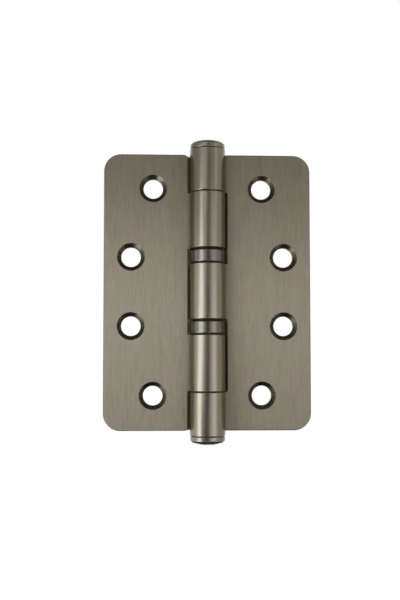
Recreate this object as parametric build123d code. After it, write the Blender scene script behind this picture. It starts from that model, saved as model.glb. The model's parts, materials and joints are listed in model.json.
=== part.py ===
from build123d import *
import math
import os

os.makedirs("parts", exist_ok=True)

# Leaves, in millimetres: a 4 inch by 3 inch hinge, laid open flat
leaf_height = 101.6
open_width = 76.2
sheet_thickness = 3.0
closed_gap = 1.6
corner_radius = 6.35
edge_break = 0.25

# Rolled knuckles and the swage that leads into them
knuckle_radius = 6.5
swage_angle = 24.0
swage_bend_radius = 1.5
curl_seam_gap = 0.15
knuckle_edge_break = 0.25
notch_front_clearance = 0.95
notch_back_clearance = 0.55
notch_lean = 1.5
notch_corner_break = 0.9

# Lengths along the barrel
middle_knuckle_length = 20.4
door_knuckle_length = 20.6
knuckle_end_gap = 0.2

# Countersunk screw holes, four on each leaf in a zigzag
holes_per_leaf = 4
hole_diameter = 7.2
sink_diameter = 10.2
sink_half_angle = 45.0
hole_end_margin = 12.7
hole_edge_margin = 10.0
hole_stagger = 8.1

# Loose pin and the button tips
pin_clearance = 0.05
pin_lead_in = 1.0
pin_end_gap = 0.8
tip_collar_setback = 0.02
tip_collar_height = 1.5
tip_groove_width = 0.4
tip_groove_depth = 0.3
tip_cap_setback = 0.15
tip_cap_height = 2.85
tip_shoulder_width = 0.7
tip_shoulder_height = 0.7
tip_crown_width = 2.4
tip_crown_height = 0.7
plug_clearance = 0.02
plug_length = 4.5

# Ball bearings between the knuckles
bearing_height = 5.6
race_pin_clearance = 0.15
race_lip_height = 0.5
race_lip_width = 0.2
top_race_clearance = 0.25
shroud_setback = 0.15
shroud_wall = 0.45
shroud_height = 4.3
shroud_edge_break = 0.15
ball_count = 8
ball_diameter = 1.5
ball_clearance = 0.03
cage_thickness = 0.5
cage_side_clearance = 0.1
cage_pocket_clearance = 0.06

cut_overrun = 1.0

# Section of the sheet, worked out from the sizes above
half_width = open_width / 2
half_height = leaf_height / 2
front_face = closed_gap / 2
back_face = front_face + sheet_thickness
bore_radius = knuckle_radius - sheet_thickness
pin_radius = bore_radius - pin_clearance
notch_back_radius = knuckle_radius + notch_back_clearance
notch_front_radius = math.hypot(knuckle_radius + notch_front_clearance, front_face + notch_lean)

# Stations along the barrel, measured from its middle
bearing_start = middle_knuckle_length / 2
bearing_middle = bearing_start + bearing_height / 2
bearing_end = bearing_start + bearing_height
door_knuckle_end = bearing_end + door_knuckle_length
end_knuckle_start = door_knuckle_end + knuckle_end_gap

# Bearing radii and heights
shroud_radius = knuckle_radius - shroud_setback
shroud_bore = shroud_radius - shroud_wall
race_bore = pin_radius + race_pin_clearance
cage_bore = race_bore + cage_side_clearance
cage_radius = shroud_bore - cage_side_clearance
ball_radius = ball_diameter / 2
ball_pitch_radius = (cage_bore + cage_radius) / 2
race_face = ball_radius + ball_clearance


def polar(radius, degrees, centre=(0, 0)):
    angle = math.radians(degrees)
    return (centre[0] + radius * math.cos(angle), centre[1] + radius * math.sin(angle))


def turned(*points):
    # A solid of revolution about the barrel's axis, from corners given as (radius, height)
    outline = Plane.XZ * Polyline(*points, close=True)
    return revolve(make_face(outline), Axis.Z)


def ring(outer, inner, height):
    return Cylinder(outer, height) - Cylinder(inner, height + 2 * cut_overrun)


def sheet_section():
    # The sheet seen along the barrel: flat plate, swaged step, then a curl right round the pin
    roll_start = 90 - swage_angle
    middle_radius = knuckle_radius - sheet_thickness / 2
    middle_line = front_face + sheet_thickness / 2
    slope = math.radians(swage_angle)
    corner = (middle_radius - middle_line * math.cos(slope)) / math.sin(slope)
    bend_start = corner + (swage_bend_radius + sheet_thickness / 2) * math.tan(slope / 2)
    bend = (bend_start, back_face + swage_bend_radius)
    bend_front_radius = swage_bend_radius + sheet_thickness

    # The curl stops where its outer corner comes within the seam gap of the bend
    reach = math.hypot(*bend)
    stop_radius = bend_front_radius + curl_seam_gap
    stop_cosine = (reach**2 + knuckle_radius**2 - stop_radius**2) / (2 * reach * knuckle_radius)
    curl_stop = math.degrees(math.atan2(bend[1], bend[0]) - math.acos(stop_cosine))
    curl_sweep = 360 + curl_stop - roll_start

    bend_stop = -90 - swage_angle
    front_bend_end = polar(bend_front_radius, bend_stop, bend)
    back_bend_end = polar(swage_bend_radius, bend_stop, bend)
    outline = Polyline((bend_start, back_face), (half_width, back_face), (half_width, front_face),
                       (bend_start, front_face))
    outline += CenterArc(bend, bend_front_radius, -90, -swage_angle)
    outline += Line(front_bend_end, polar(bore_radius, roll_start))
    outline += CenterArc((0, 0), bore_radius, roll_start, curl_sweep)
    outline += Line(polar(bore_radius, curl_stop), polar(knuckle_radius, curl_stop))
    outline += CenterArc((0, 0), knuckle_radius, roll_start, curl_sweep)
    outline += Line(polar(knuckle_radius, roll_start), back_bend_end)
    outline += CenterArc(bend, swage_bend_radius, bend_stop, swage_angle)
    return make_face(outline)


def screw_hole():
    # One countersunk hole along +Y, with its rim at the origin
    sink_radius = sink_diameter / 2
    hole_radius = hole_diameter / 2
    slope = math.tan(math.radians(sink_half_angle))
    sink_depth = (sink_radius - hole_radius) / slope
    far_end = sheet_thickness + cut_overrun
    profile = Polyline((0, -cut_overrun), (sink_radius + cut_overrun * slope, -cut_overrun),
                       (hole_radius, sink_depth), (hole_radius, far_end), (0, far_end), close=True)
    return revolve(make_face(profile), Axis.Y)


def hole_places():
    far_column = half_width - hole_edge_margin
    near_column = far_column - hole_stagger
    top_row = half_height - hole_end_margin
    pitch = 2 * top_row / (holes_per_leaf - 1)
    places = []
    for row in range(holes_per_leaf):
        outermost = row in (0, holes_per_leaf - 1)
        column = near_column if outermost else far_column
        places.append((column, front_face, top_row - row * pitch))
    return places


def notch(low, high):
    # Two round cuts: a close one about the pin, and a wider one set forward to open the crevice
    middle = (low + high) / 2
    close_cut = Pos(0, 0, middle) * Cylinder(notch_back_radius, high - low)
    wide_cut = Pos(0, -notch_lean, middle) * Cylinder(notch_front_radius, high - low)
    return close_cut + wide_cut


def end_notch(low):
    # A notch that runs out of the leaf's top end, with the free corner beside it taken off
    top = half_height + cut_overrun
    flare = notch_front_radius + notch_corner_break + cut_overrun
    corner_start = half_height - notch_corner_break
    corner = turned((0, low), (notch_front_radius, low), (notch_front_radius, corner_start),
                    (flare, top), (0, top))
    return notch(low, top) + Pos(0, -notch_lean, 0) * corner


def leaf(notches):
    # One pressed leaf on the +X side, notched wherever the other leaf's knuckles run
    solid = extrude(sheet_section(), half_height, both=True)
    upright_edges = solid.edges().filter_by(Axis.Y).group_by(Axis.X)[-1]
    solid = fillet(upright_edges, corner_radius)
    outer_edge = solid.faces().filter_by(Axis.X).sort_by(Axis.X)[-1]
    solid = chamfer(outer_edge.edges().filter_by(Axis.Z), edge_break)
    for cutter in notches:
        solid -= cutter
    reach = half_height - edge_break
    inner_edges = solid.edges().filter_by_position(Axis.Z, -reach, reach, inclusive=(False, False))
    knuckle_rims = [edge for edge in inner_edges.filter_by(GeomType.CIRCLE)
                    if math.isclose(edge.radius, knuckle_radius)]
    solid = chamfer(knuckle_rims, knuckle_edge_break)
    for place in hole_places():
        solid -= Pos(*place) * screw_hole()
    return solid


def frame_leaf():
    top_notch = notch(bearing_start, end_knuckle_start)
    return leaf([top_notch, top_notch.mirror(Plane.XY)])


def door_leaf():
    top_notch = end_notch(door_knuckle_end)
    return leaf([top_notch, notch(-bearing_end, bearing_end), top_notch.mirror(Plane.XY)]).mirror(Plane.YZ)


def button_points(start_radius):
    # Outline of a button tip seated on the top knuckle, from its underside to the middle of its cap
    collar_radius = knuckle_radius - tip_collar_setback
    cap_radius = knuckle_radius - tip_cap_setback
    groove_radius = cap_radius - tip_groove_depth
    collar_top = half_height + tip_collar_height
    cap_bottom = collar_top + tip_groove_width
    cap_top = cap_bottom + tip_cap_height
    crown_radius = cap_radius - tip_shoulder_width
    crown_bottom = cap_top - tip_crown_height
    return [(start_radius, half_height), (collar_radius, half_height), (collar_radius, collar_top),
            (groove_radius, (collar_top + cap_bottom) / 2), (cap_radius, cap_bottom),
            (cap_radius, crown_bottom - tip_shoulder_height), (crown_radius, crown_bottom),
            (crown_radius - tip_crown_width, cap_top), (0, cap_top)]


def hinge_pin():
    end = plug_length + pin_end_gap - half_height
    shank = [(0, end), (pin_radius - pin_lead_in, end), (pin_radius, end + pin_lead_in)]
    return turned(*shank, *button_points(pin_radius))


def bottom_tip():
    plug_radius = bore_radius - plug_clearance
    plug_end = half_height - plug_length
    return turned((0, plug_end), (plug_radius, plug_end), *button_points(plug_radius)).mirror(Plane.XY)


def bottom_race():
    # A flat hardened washer on the knuckle below, with a lip that carries the shroud
    lip_radius = shroud_bore + race_lip_width
    bottom = -bearing_height / 2
    lip_top = bottom + race_lip_height
    return turned((race_bore, bottom), (lip_radius, bottom), (lip_radius, lip_top), (shroud_bore, lip_top),
                  (shroud_bore, -race_face), (race_bore, -race_face))


def top_race():
    # A flat hardened washer under the knuckle above, running clear inside the shroud
    top = bearing_height / 2
    radius = shroud_bore - top_race_clearance
    return turned((race_bore, race_face), (radius, race_face), (radius, top), (race_bore, top))


def shroud():
    middle = race_lip_height + (shroud_height - bearing_height) / 2
    band = ring(shroud_radius, shroud_bore, shroud_height)
    outer_rims = band.edges().filter_by(GeomType.CIRCLE).group_by(lambda edge: edge.radius)[-1]
    return Pos(0, 0, middle) * chamfer(outer_rims, shroud_edge_break)


def ball_places():
    return PolarLocations(ball_pitch_radius, ball_count).locations


def ball():
    # A ball with eighteen flats, so that the many small balls stay light
    flat_turn = 45
    across_flats = ball_diameter * math.cos(math.radians(flat_turn / 2))
    cube = Box(across_flats, across_flats, across_flats)
    return cube & Rot(flat_turn, 0, 0) * cube & Rot(0, flat_turn, 0) * cube & Rot(0, 0, flat_turn) * cube


def cage():
    solid = ring(cage_radius, cage_bore, cage_thickness)
    pocket = ball_diameter + 2 * cage_pocket_clearance
    for place in ball_places():
        solid -= place * Box(pocket, pocket, cage_thickness + 2 * cut_overrun)
    return solid


export_step(frame_leaf(), "parts/frame_leaf.step")
export_step(door_leaf(), "parts/door_leaf.step")
export_step(hinge_pin(), "parts/hinge_pin.step")
export_step(bottom_tip(), "parts/bottom_tip.step")

for name, height in (("upper", bearing_middle), ("lower", -bearing_middle)):
    seat = Pos(0, 0, height)
    export_step(seat * top_race(), f"parts/{name}_bearing_top_race.step")
    export_step(seat * bottom_race(), f"parts/{name}_bearing_bottom_race.step")
    export_step(seat * shroud(), f"parts/{name}_bearing_shroud.step")
    export_step(seat * cage(), f"parts/{name}_bearing_cage.step")
    for number, place in enumerate(ball_places(), start=1):
        export_step(seat * place * ball(), f"parts/{name}_bearing_ball_{number}.step")
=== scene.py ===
import bpy
import bmesh
import json
import math
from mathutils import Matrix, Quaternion, Vector


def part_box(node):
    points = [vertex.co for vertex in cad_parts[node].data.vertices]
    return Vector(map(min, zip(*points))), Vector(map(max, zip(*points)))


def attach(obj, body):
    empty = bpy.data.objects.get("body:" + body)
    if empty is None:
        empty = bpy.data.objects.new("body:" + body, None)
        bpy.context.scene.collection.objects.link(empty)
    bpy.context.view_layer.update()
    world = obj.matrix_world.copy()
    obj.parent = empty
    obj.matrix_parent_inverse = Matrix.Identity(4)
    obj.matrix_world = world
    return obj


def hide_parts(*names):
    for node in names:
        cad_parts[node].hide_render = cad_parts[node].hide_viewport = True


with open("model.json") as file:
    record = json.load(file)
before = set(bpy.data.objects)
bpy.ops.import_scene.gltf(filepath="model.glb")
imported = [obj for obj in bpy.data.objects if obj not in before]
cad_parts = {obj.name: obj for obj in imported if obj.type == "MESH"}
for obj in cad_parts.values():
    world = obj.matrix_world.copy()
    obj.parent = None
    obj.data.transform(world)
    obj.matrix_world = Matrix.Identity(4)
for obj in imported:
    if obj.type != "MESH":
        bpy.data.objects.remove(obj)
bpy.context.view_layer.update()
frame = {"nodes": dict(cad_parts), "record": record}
print("hinge loaded:", len(frame["nodes"]), "solids")

millimetre = 0.001
plainWhite = (1.0, 1.0, 1.0)
bearings = ("upper", "lower")
scene = bpy.context.scene


class Wire:
    # a socket that can be used in sums, each sum adds a Math node
    def __init__(self, bench, socket):
        self.bench = bench
        self.socket = socket

    def sum(self, operation, first, second):
        return self.bench.node("ShaderNodeMath", {"operation": operation}, {0: first, 1: second})

    def __add__(self, other):
        return self.sum("ADD", self, other)

    def __radd__(self, other):
        return self.sum("ADD", other, self)

    def __sub__(self, other):
        return self.sum("SUBTRACT", self, other)

    def __rsub__(self, other):
        return self.sum("SUBTRACT", other, self)

    def __mul__(self, other):
        return self.sum("MULTIPLY", self, other)

    def __rmul__(self, other):
        return self.sum("MULTIPLY", other, self)

    def between(self, low, high):
        # 0 below low, 1 above high, eased in the middle
        settings = {"interpolation_type": "SMOOTHSTEP"}
        inputs = {"Value": self, "From Min": low, "From Max": high}
        return self.bench.node("ShaderNodeMapRange", settings, inputs)


class Bench:
    # one node tree, with a single way to put a node on it
    def __init__(self, tree):
        self.tree = tree
        self.tree.nodes.clear()

    def node(self, kind, settings=None, inputs=None, out=0):
        # out is the name or the number of the output that is handed back
        made = self.tree.nodes.new(kind)
        for name, value in (settings or {}).items():
            setattr(made, name, value)
        for name, value in (inputs or {}).items():
            if isinstance(value, Wire):
                self.tree.links.new(value.socket, made.inputs[name])
            else:
                made.inputs[name].default_value = value
        if not made.outputs:
            return made
        return Wire(self, made.outputs[out])

    def mixColour(self, factor, first, second):
        # a Mix node keeps its two colours in inputs 6 and 7, and gives the mixed one in output 2
        settings = {"data_type": "RGBA", "blend_type": "MIX"}
        return self.node("ShaderNodeMix", settings, {0: factor, 6: first, 7: second}, out=2)

    def noise(self, place, size, detail=2.0):
        # size is how many cells there are to a metre along x, y and z
        scaled = self.node("ShaderNodeMapping", {}, {"Vector": place, "Scale": size})
        return self.node("ShaderNodeTexNoise", {}, {"Vector": scaled, "Scale": 1.0, "Detail": detail})


def newFinish(name):
    material = bpy.data.materials.new(name)
    material.use_nodes = True
    bench = Bench(material.node_tree)
    place = bench.node("ShaderNodeTexCoord", out="Object")
    return material, bench, place


def closeFinish(bench, inputs):
    shader = bench.node("ShaderNodeBsdfPrincipled", {}, inputs)
    bench.node("ShaderNodeOutputMaterial", {}, {"Surface": shader})


def rgba(colour, level=1.0):
    return (colour[0] * level, colour[1] * level, colour[2] * level, 1.0)


# brushed dark nickel: fine grain along the barrel, faint streaks, and faint pink and olive patches
# lines, bands and clouds are noise cells to a metre, spread is the anisotropy, glance tints a slanting sheen
brushedFacts = {
    "leafPlate": {
        "warm": (0.320, 0.281, 0.225), "olive": (0.309, 0.285, 0.211), "roughness": 0.46, "spread": 1.0,
        "grain": 0.16, "streak": 0.05, "lines": (2000.0, 2000.0, 200.0), "bands": (500.0, 500.0, 40.0),
        "clouds": (150.0, 150.0, 70.0), "bump": 0.10,
    },
    "barrel": {
        "warm": (0.268, 0.236, 0.194), "olive": (0.250, 0.238, 0.182), "roughness": 0.25, "spread": 0.3,
        "grain": 0.06, "streak": 0.06, "lines": (2400.0, 2400.0, 120.0), "bands": (600.0, 600.0, 40.0),
        "clouds": (200.0, 200.0, 80.0), "bump": 0.06,
    },
    "pinAndTip": {
        "warm": (0.266, 0.240, 0.200), "olive": (0.250, 0.236, 0.190), "roughness": 0.25, "spread": 0.0,
        "grain": 0.06, "streak": 0.05, "lines": (500.0, 500.0, 2400.0), "bands": (160.0, 160.0, 700.0),
        "clouds": (220.0, 220.0, 220.0), "bump": 0.05,
    },
    "bearingShroud": {
        "warm": (0.182, 0.166, 0.141), "olive": (0.170, 0.162, 0.133), "roughness": 0.21, "spread": 0.0,
        "grain": 0.05, "streak": 0.05, "lines": (900.0, 900.0, 2600.0), "bands": (200.0, 200.0, 700.0),
        "clouds": (250.0, 250.0, 250.0), "bump": 0.04,
    },
    "cutEdge": {
        "warm": (0.275, 0.246, 0.200), "olive": (0.240, 0.226, 0.180), "roughness": 0.34, "spread": 0.0,
        "grain": 0.10, "streak": 0.10, "lines": (1500.0, 500.0, 1500.0), "bands": (300.0, 900.0, 300.0),
        "clouds": (250.0, 250.0, 250.0), "bump": 0.10,
    },
    # painted shade: a dark tone on the bore faces and on the notch faces beside the barrel, standing in for
    # the shade in these crevices
    "darkRecess": {
        "warm": (0.105, 0.082, 0.058), "olive": (0.080, 0.068, 0.048), "roughness": 0.30, "spread": 0.0,
        "glance": (0.95, 0.80, 0.62),
        "grain": 0.10, "streak": 0.10, "lines": (1800.0, 1800.0, 1800.0), "bands": (500.0, 500.0, 500.0),
        "clouds": (300.0, 300.0, 300.0), "bump": 0.08,
    },
    # painted shade: the countersink cones have about half the plate's tone, darkened to stand in for the
    # shade in them
    "sinkFace": {
        "warm": (0.150, 0.130, 0.101), "olive": (0.136, 0.120, 0.090), "roughness": 0.28, "spread": 0.0,
        "glance": (0.95, 0.86, 0.72),
        "grain": 0.06, "streak": 0.06, "lines": (1800.0, 1800.0, 1800.0), "bands": (500.0, 500.0, 500.0),
        "clouds": (300.0, 300.0, 300.0), "bump": 0.05,
    },
    "bearingRace": {
        "warm": (0.024, 0.021, 0.018), "olive": (0.018, 0.017, 0.014), "roughness": 0.38, "spread": 0.0,
        "grain": 0.06, "streak": 0.06, "lines": (700.0, 700.0, 2600.0), "bands": (200.0, 200.0, 700.0),
        "clouds": (250.0, 250.0, 250.0), "bump": 0.04,
    },
    "bearingCage": {
        "warm": (0.560, 0.400, 0.150), "olive": (0.470, 0.350, 0.130), "roughness": 0.32, "spread": 0.0,
        "grain": 0.06, "streak": 0.06, "lines": (900.0, 900.0, 900.0), "bands": (300.0, 300.0, 300.0),
        "clouds": (250.0, 250.0, 250.0), "bump": 0.05,
    },
    "bearingBall": {
        "warm": (0.560, 0.555, 0.545), "olive": (0.530, 0.528, 0.520), "roughness": 0.08, "spread": 0.0,
        "grain": 0.02, "streak": 0.02, "lines": (2500.0, 2500.0, 2500.0), "bands": (600.0, 600.0, 600.0),
        "clouds": (400.0, 400.0, 400.0), "bump": 0.01,
    },
}

# shared by all of these finishes
grainFacts = {"middle": 0.5, "cloudRange": (0.32, 0.68), "cloudDetail": 1.0, "bumpDepth": 0.02 * millimetre}


def brushedFinish(name, facts, shared):
    # grain and streak are how far the fine lines and the broad ones change the tone, as a share of it
    material, bench, place = newFinish(name)
    grain = bench.noise(place, facts["lines"]) - shared["middle"]
    streak = bench.noise(place, facts["bands"]) - shared["middle"]
    clouds = bench.noise(place, facts["clouds"], shared["cloudDetail"]).between(*shared["cloudRange"])
    total = facts["grain"] + facts["streak"]
    dark = bench.mixColour(clouds, rgba(facts["warm"], 1.0 - total), rgba(facts["olive"], 1.0 - total))
    light = bench.mixColour(clouds, rgba(facts["warm"], 1.0 + total), rgba(facts["olive"], 1.0 + total))
    grainShare = 2.0 * facts["grain"] / total
    streakShare = 2.0 * facts["streak"] / total
    shade = grain * grainShare + streak * streakShare + shared["middle"]
    rough = grain * facts["grain"] + streak * facts["streak"] + facts["roughness"]
    bump = bench.node("ShaderNodeBump", {}, {"Strength": facts["bump"], "Distance": shared["bumpDepth"],
                                             "Height": grain + streak})
    closeFinish(bench, {"Base Color": bench.mixColour(shade, dark, light), "Metallic": 1.0,
                        "Roughness": rough, "Normal": bump, "Anisotropic": facts["spread"],
                        "Specular Tint": rgba(facts.get("glance", plainWhite))})
    return material


finishes = {name: brushedFinish(name, facts, grainFacts) for name, facts in brushedFacts.items()}
print("finishes made:", len(finishes))


def giveFinishes(piece, names):
    piece.data.materials.clear()
    for name in names:
        piece.data.materials.append(finishes[name])


def freeze(piece):
    # what the modifiers make becomes the piece's own plain mesh
    made = piece.evaluated_get(bpy.context.evaluated_depsgraph_get())
    solid = bpy.data.meshes.new_from_object(made)
    piece.modifiers.clear()
    piece.data = solid


# every rounded copy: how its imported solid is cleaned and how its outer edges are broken, angles in degrees
edgeFacts = {
    "merge": 0.01 * millimetre,
    "flatWithin": 0.3,
    "sharpFrom": 30.0,
    "width": 0.10 * millimetre,
    "steps": 2,
    "seamReach": 6.8 * millimetre,
    "seamWithin": 0.05 * millimetre,
    "rimRadius": 6.25 * millimetre,
    "collarRadius": 6.48 * millimetre,
}
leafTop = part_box("frame_leaf")[1][2]


def onTipSeam(vertex, facts):
    # the ring where a tip's collar sits flush on an end knuckle, which shows no seam
    level = abs(abs(vertex.co.z) - leafTop) < facts["seamWithin"]
    return level and math.hypot(vertex.co.x, vertex.co.y) < facts["seamReach"]


def closeTipSeam(work, facts):
    # an end knuckle's broken rim is filled out to the collar that sits on it
    for vertex in work.verts:
        reach = math.hypot(vertex.co.x, vertex.co.y)
        if onTipSeam(vertex, facts) and abs(reach - facts["rimRadius"]) < facts["seamWithin"]:
            grow = facts["collarRadius"] / reach
            vertex.co.x *= grow
            vertex.co.y *= grow


def roundedCopy(nodeName, pieceName, facts):
    flatWithin = math.radians(facts["flatWithin"])
    sharpFrom = math.radians(facts["sharpFrom"])
    work = bmesh.new()
    work.from_mesh(frame["nodes"][nodeName].data)
    bmesh.ops.remove_doubles(work, verts=work.verts, dist=facts["merge"])
    closeTipSeam(work, facts)
    bmesh.ops.dissolve_limit(work, angle_limit=flatWithin, verts=work.verts, edges=work.edges)
    weights = work.edges.layers.float.new("bevel_weight_edge")
    for edge in work.edges:
        if edge.is_manifold:
            turn = edge.calc_face_angle_signed()
            seam = all(onTipSeam(vertex, facts) for vertex in edge.verts)
            edge[weights] = float(turn > sharpFrom and not seam)
            edge.smooth = abs(turn) < sharpFrom
    mesh = bpy.data.meshes.new(pieceName)
    work.to_mesh(mesh)
    work.free()
    if "custom_normal" in mesh.attributes:
        mesh.attributes.remove(mesh.attributes["custom_normal"])
    mesh.shade_smooth()
    piece = bpy.data.objects.new(pieceName, mesh)
    scene.collection.objects.link(piece)
    bevel = piece.modifiers.new("brokenEdges", "BEVEL")
    bevel.limit_method = "WEIGHT"
    bevel.width = facts["width"]
    bevel.segments = facts["steps"]
    bevel.use_clamp_overlap = True
    even = piece.modifiers.new("evenShading", "WEIGHTED_NORMAL")
    even.keep_sharp = True
    freeze(piece)
    piece.data.name = pieceName
    return piece


def paintFaces(piece, names, choose):
    giveFinishes(piece, names)
    for face in piece.data.polygons:
        face.material_index = names.index(choose(face.center, face.normal))


# where the leaf's finishes lie, from the pin's axis and from the screw holes, and which way their faces look
leafFacts = {
    "barrelReach": 6.55 * millimetre,
    "boreReach": 6.10 * millimetre,
    "notchReach": 8.60 * millimetre,
    "sinkReach": 5.20 * millimetre,
    "leastReach": 0.001 * millimetre,
    "steep": 0.75,
    "flat": 0.9,
    "boreInward": -0.5,
    "notchInward": -0.3,
}


def screwHoles():
    holes = []
    for mount in frame["record"]["mounts"]:
        if mount["kind"] == "bolt_pattern":
            x, _, z = mount["pos_m"]
            half = mount["dims"]["spacing_y_mm"] * millimetre / 2
            holes += [(x, z - half), (x, z + half)]
    return holes


holes = screwHoles()


def leafFace(centre, normal):
    reach = math.hypot(centre.x, centre.y)
    outward = (centre.x * normal.x + centre.y * normal.y) / max(reach, leafFacts["leastReach"])
    for x, z in holes:
        if math.hypot(centre.x - x, centre.z - z) < leafFacts["sinkReach"]:
            # countersink cones and hole walls get the darker finish, which is painted shade
            return "leafPlate" if abs(normal.y) > leafFacts["flat"] else "sinkFace"
    # inner bore faces get the recess finish, which is painted shade
    if reach < leafFacts["boreReach"] and outward < leafFacts["boreInward"]:
        return "darkRecess"
    if reach < leafFacts["barrelReach"]:
        return "cutEdge" if abs(normal.z) > leafFacts["steep"] else "barrel"
    if abs(normal.y) > leafFacts["steep"]:
        return "leafPlate"
    # notch faces beside the barrel get the recess finish, which is painted shade
    if reach < leafFacts["notchReach"] and outward < leafFacts["notchInward"]:
        return "darkRecess"
    return "cutEdge"


leafFinishes = ["leafPlate", "barrel", "cutEdge", "darkRecess", "sinkFace"]
leafPieces = [
    {"node": "frame_leaf", "name": "frameLeaf", "body": "frame_side"},
    {"node": "door_leaf", "name": "doorLeaf", "body": "door_side"},
]
for facts in leafPieces:
    leaf = roundedCopy(facts["node"], facts["name"], edgeFacts)
    paintFaces(leaf, leafFinishes, leafFace)
    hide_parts(facts["node"])
    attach(leaf, facts["body"])
    print(facts["name"], len(leaf.data.polygons), "faces")

# round pieces, with one finish each
turnedPieces = [
    {"node": "hinge_pin", "name": "loosePin", "body": "loose_pin",
     "finish": "pinAndTip", "slot": "pin_and_tip"},
    {"node": "bottom_tip", "name": "bottomTip", "body": "frame_side",
     "finish": "pinAndTip", "slot": "pin_and_tip"},
    {"node": "upper_bearing_shroud", "name": "upperShroud", "body": "frame_side",
     "finish": "bearingShroud", "slot": "bearing_shroud"},
    {"node": "lower_bearing_shroud", "name": "lowerShroud", "body": "door_side",
     "finish": "bearingShroud", "slot": "bearing_shroud"},
]
for facts in turnedPieces:
    turned = roundedCopy(facts["node"], facts["name"], edgeFacts)
    giveFinishes(turned, [facts["finish"]])
    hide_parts(facts["node"])
    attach(turned, facts["body"])
    print(facts["name"], len(turned.data.polygons), "faces")

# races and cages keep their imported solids
keptSolids = {"top_race": "bearingRace", "bottom_race": "bearingRace", "cage": "bearingCage"}
for side in bearings:
    for part, finish in keptSolids.items():
        giveFinishes(frame["nodes"][side + "_bearing_" + part], [finish])
print("races and cages finished:", len(bearings) * len(keptSolids))

# one ring of smooth balls for each bearing
ballFacts = {"count": 8, "segments": 24, "rings": 16}


def ballRingTree():
    tree = bpy.data.node_groups.new("ballRing", "GeometryNodeTree")
    bench = Bench(tree)
    for name, kind in (("Count", "NodeSocketInt"), ("Ring Radius", "NodeSocketFloat"),
                       ("Ball Radius", "NodeSocketFloat"), ("Height", "NodeSocketFloat"),
                       ("Segments", "NodeSocketInt"), ("Rings", "NodeSocketInt"),
                       ("Finish", "NodeSocketMaterial")):
        tree.interface.new_socket(name, in_out="INPUT", socket_type=kind)
    tree.interface.new_socket("Geometry", in_out="OUTPUT", socket_type="NodeSocketGeometry")
    given = bench.node("NodeGroupInput").socket.node
    asked = {socket.name: Wire(bench, socket) for socket in given.outputs if socket.name}
    circle = bench.node("GeometryNodeMeshCircle", {}, {"Vertices": asked["Count"],
                                                       "Radius": asked["Ring Radius"]})
    ball = bench.node("GeometryNodeMeshUVSphere", {}, {"Segments": asked["Segments"], "Rings": asked["Rings"],
                                                       "Radius": asked["Ball Radius"]})
    smooth = bench.node("GeometryNodeSetShadeSmooth", {}, {"Geometry": ball})
    ring = bench.node("GeometryNodeInstanceOnPoints", {}, {"Points": circle, "Instance": smooth})
    lift = bench.node("ShaderNodeCombineXYZ", {}, {"Z": asked["Height"]})
    lifted = bench.node("GeometryNodeTransform", {}, {"Geometry": ring, "Translation": lift})
    whole = bench.node("GeometryNodeRealizeInstances", {}, {"Geometry": lifted})
    done = bench.node("GeometryNodeSetMaterial", {}, {"Geometry": whole, "Material": asked["Finish"]})
    bench.node("NodeGroupOutput", {}, {"Geometry": done})
    return tree


def makeBalls(side, tree, facts):
    names = [side + "_bearing_ball_" + str(number) for number in range(1, facts["count"] + 1)]
    low, high = (Vector(corner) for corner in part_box(names[0]))
    centre = (low + high) / 2
    piece = bpy.data.objects.new(side + "Balls", bpy.data.meshes.new(side + "Balls"))
    scene.collection.objects.link(piece)
    grower = piece.modifiers.new("ballRing", "NODES")
    grower.node_group = tree
    sizes = {"Count": facts["count"], "Ring Radius": math.hypot(centre.x, centre.y),
             "Ball Radius": (high.z - low.z) / 2, "Height": centre.z, "Segments": facts["segments"],
             "Rings": facts["rings"], "Finish": finishes["bearingBall"]}
    for socket in tree.interface.items_tree:
        if socket.in_out == "INPUT":
            grower[socket.identifier] = sizes[socket.name]
    freeze(piece)
    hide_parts(*names)
    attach(piece, side + "_ball_ring")
    print(piece.name, len(piece.data.polygons), "faces")


ringTree = ballRingTree()
for side in bearings:
    makeBalls(side, ringTree, ballFacts)

# the rays that see the surroundings as white
whiteRays = ("Is Camera Ray", "Is Glossy Ray", "Is Transmission Ray")


def seenRays(bench):
    # 1 for those rays, 0 for the light that falls on things
    path = bench.node("ShaderNodeLightPath").socket.node
    direct, mirrored, through = (Wire(bench, path.outputs[name]) for name in whiteRays)
    return (direct + mirrored + through).between(0.0, 1.0)


# pale round floor well below the hinge, nearly white to the camera, with a faint shadow, and faded at its rim
floorFacts = {
    "radius": 0.60,
    "sides": 96,
    "level": -0.25,
    "fade": (0.35, 0.588),
    "colour": (0.92, 0.92, 0.92),
    "speckle": (30.0, 30.0, 30.0),
    "speckleLevel": 0.99,
    "whiteShare": 0.85,
}


def makeFloor(facts):
    mesh = bpy.data.meshes.new("floor")
    rim = []
    for number in range(facts["sides"]):
        turn = 2 * math.pi * number / facts["sides"]
        rim.append((facts["radius"] * math.cos(turn), facts["radius"] * math.sin(turn), facts["level"]))
    mesh.from_pydata(rim, [], [tuple(range(facts["sides"]))])
    floor = bpy.data.objects.new("floor", mesh)
    scene.collection.objects.link(floor)
    material, bench, place = newFinish("paleFloor")
    speckle = bench.noise(place, facts["speckle"])
    pale = bench.mixColour(speckle, rgba(facts["colour"], facts["speckleLevel"]), rgba(facts["colour"]))
    matt = bench.node("ShaderNodeBsdfDiffuse", {}, {"Color": pale})
    white = bench.node("ShaderNodeEmission", {}, {"Color": rgba(plainWhite), "Strength": 1.0})
    share = seenRays(bench) * facts["whiteShare"]
    lit = bench.node("ShaderNodeMixShader", {}, {0: share, 1: matt, 2: white})
    flat = bench.node("ShaderNodeVectorMath", {"operation": "MULTIPLY"}, {0: place, 1: (1.0, 1.0, 0.0)})
    reach = bench.node("ShaderNodeVectorMath", {"operation": "LENGTH"}, {0: flat}, out="Value")
    gone = bench.node("ShaderNodeBsdfTransparent")
    faded = bench.node("ShaderNodeMixShader", {}, {0: reach.between(*facts["fade"]), 1: lit, 2: gone})
    bench.node("ShaderNodeOutputMaterial", {}, {"Surface": faded})
    mesh.materials.append(material)


makeFloor(floorFacts)
print("floor ready")

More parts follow.
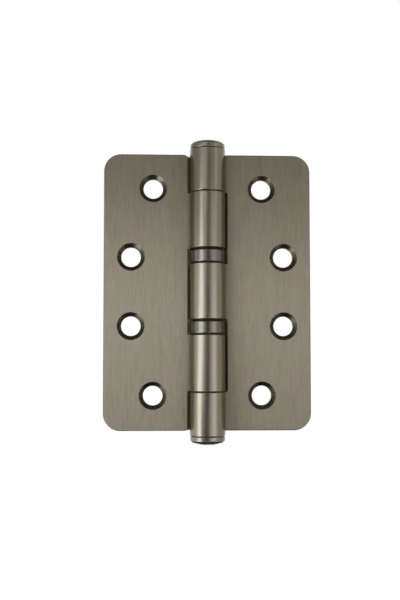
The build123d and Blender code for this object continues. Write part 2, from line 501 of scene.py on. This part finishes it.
# white studio: the world is white to the camera and in the metal, apart from the cards that the metal mirrors
# a lamp's radiance is set against the white world's 1, a card's two shades lie below and above cardBlend
studioFacts = {
    "ambient": 0.75,
    "cardTint": (1.0, 0.97, 0.88),
    "cardRoughness": 0.9,
    "cardBlend": (-0.08, 0.08),
    "lamps": [
        {"name": "leftLamp", "place": (-0.184, -0.155, -0.019), "aim": (0.0, 0.0, 0.0), "size": (0.105, 0.19),
         "roll": -42.0, "radiance": 2.2, "tint": (0.95, 0.99, 1.06)},
        {"name": "rightLamp", "place": (0.272, -0.32, -0.05), "aim": (0.0, 0.0, -0.02), "size": (0.17, 0.21),
         "radiance": 0.65},
        {"name": "lowLamp", "place": (-0.18, -0.085, -0.155), "aim": (0.028, 0.0, 0.01), "size": (0.15, 0.14),
         "radiance": 2.6},
    ],
    "cards": [
        {"name": "middleCard", "shade": (0.16, 0.36),
         "corners": [(-0.29, -0.42, -0.35), (-0.06, -0.42, -0.35), (0.26, -0.42, 0.35), (0.06, -0.42, 0.35)]},
        {"name": "upperCard", "shade": (0.52, 0.52),
         "corners": [(0.05, -0.41, 0.12), (0.42, -0.41, 0.12), (0.42, -0.41, 0.42), (0.05, -0.41, 0.42)]},
        {"name": "crownCard", "shade": (0.25, 0.25),
         "corners": [(-0.45, -0.415, 0.20), (0.05, -0.415, 0.20),
                     (0.05, -0.415, 0.46), (-0.45, -0.415, 0.46)]},
        {"name": "lowerCard", "shade": (0.10, 0.10),
         "corners": [(-0.45, -0.41, -0.45), (-0.09, -0.41, -0.45),
                     (-0.09, -0.41, -0.075), (-0.45, -0.41, -0.075)]},
        {"name": "footCard", "shade": (0.08, 0.08),
         "corners": [(-0.13, -0.16, -0.20), (0.13, -0.16, -0.20), (0.13, 0.36, -0.20), (-0.13, 0.36, -0.20)]},
        {"name": "leftCard", "shade": (0.55, 0.55),
         "corners": [(-0.40, -0.34, 0.08), (-0.40, 0.30, 0.08), (-0.40, 0.30, 0.45), (-0.40, -0.34, 0.45)]},
        {"name": "rightCard", "shade": (0.80, 0.80),
         "corners": [(0.40, -0.22, -0.35), (0.40, 0.30, -0.35), (0.40, 0.30, 0.45), (0.40, -0.22, 0.45)]},
        {"name": "topCard", "shade": (0.35, 0.35),
         "corners": [(-0.45, -0.45, 0.46), (0.45, -0.45, 0.46), (0.45, 0.35, 0.46), (-0.45, 0.35, 0.46)]},
    ],
}


def makeWorld(facts):
    world = bpy.data.worlds.new("whiteStudio")
    world.use_nodes = True
    scene.world = world
    bench = Bench(world.node_tree)
    strength = seenRays(bench) * (1.0 - facts["ambient"]) + facts["ambient"]
    glow = bench.node("ShaderNodeBackground", {}, {"Color": rgba(plainWhite), "Strength": strength})
    bench.node("ShaderNodeOutputWorld", {}, {"Surface": glow})


def makeLamp(facts):
    light = bpy.data.lights.new(facts["name"], "AREA")
    light.shape = "RECTANGLE"
    light.color = facts.get("tint", plainWhite)
    light.size, light.size_y = facts["size"]
    light.energy = facts["radiance"] * math.pi * light.size * light.size_y
    holder = bpy.data.objects.new(facts["name"], light)
    holder.location = facts["place"]
    direction = Vector(facts["aim"]) - Vector(facts["place"])
    roll = Quaternion((0.0, 0.0, 1.0), math.radians(facts.get("roll", 0.0)))
    holder.rotation_euler = (direction.to_track_quat("-Z", "Y") @ roll).to_euler()
    holder.visible_camera = False
    scene.collection.objects.link(holder)


def makeCard(facts, studio):
    # a grey card out of the camera's sight, which the metal mirrors as a dark band
    mesh = bpy.data.meshes.new(facts["name"])
    mesh.from_pydata(facts["corners"], [], [(0, 1, 2, 3)])
    card = bpy.data.objects.new(facts["name"], mesh)
    scene.collection.objects.link(card)
    card.visible_camera = False
    card.visible_shadow = False
    card.visible_diffuse = False
    material, bench, place = newFinish(facts["name"])
    low, high = (rgba(studio["cardTint"], level) for level in facts["shade"])
    shade = low
    if high != low:
        height = bench.node("ShaderNodeSeparateXYZ", {}, {"Vector": place}, out="Z")
        shade = bench.mixColour(height.between(*studio["cardBlend"]), low, high)
    closeFinish(bench, {"Base Color": shade, "Roughness": studio["cardRoughness"]})
    mesh.materials.append(material)


makeWorld(studioFacts)
for facts in studioFacts["lamps"]:
    makeLamp(facts)
for facts in studioFacts["cards"]:
    makeCard(facts, studioFacts)
print("studio ready")

cameraFacts = {"place": (-0.01875, -0.3300, -0.0219), "yaw": 2.77, "pitch": 3.25, "lens": 54.2,
               "sensor": 36.0, "nearest": 0.01}


def makeCamera(facts):
    camera = bpy.data.cameras.new("photoCamera")
    camera.lens = facts["lens"]
    camera.sensor_width = facts["sensor"]
    camera.clip_start = facts["nearest"]
    holder = bpy.data.objects.new("photoCamera", camera)
    yaw = math.radians(facts["yaw"])
    pitch = math.radians(facts["pitch"])
    holder.location = facts["place"]
    holder.rotation_euler = (math.pi / 2 + pitch, 0.0, -yaw)
    scene.collection.objects.link(holder)
    scene.camera = holder


makeCamera(cameraFacts)
scene.view_settings.view_transform = "Standard"

print("scene ready")
